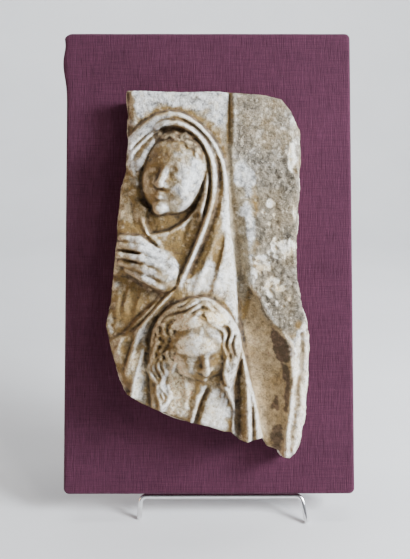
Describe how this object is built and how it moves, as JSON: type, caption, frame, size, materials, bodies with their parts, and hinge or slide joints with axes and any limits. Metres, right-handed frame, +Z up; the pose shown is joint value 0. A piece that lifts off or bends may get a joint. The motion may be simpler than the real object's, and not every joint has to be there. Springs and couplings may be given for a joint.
{
  "type": "carved stone corbel fragment on a display board",
  "caption": "Broken carved stone relief of a veiled figure and a bowed head, fixed to a cloth-covered board that leans on a small wire easel.",
  "frame": {"origin": "on the table under the middle of the object's bounding box", "axes": "+Z up, the carved front faces -Y, +X to the right of someone who looks at the front"},
  "size_m": [0.191, 0.1362, 0.3101],
  "materials": {
    "stone": "weathered, patinated",
    "board": "raw fibreboard",
    "cloth": "slubbed linen",
    "wire": "bright"
  },
  "bodies": {
    "root": {"carved_relief_fragment": "stone", "backing_board": "board", "cloth_cover": "cloth", "easel_front_wire": "wire", "easel_back_frame": "wire", "easel_rear_strut": "wire"}
  },
  "joints": []
}
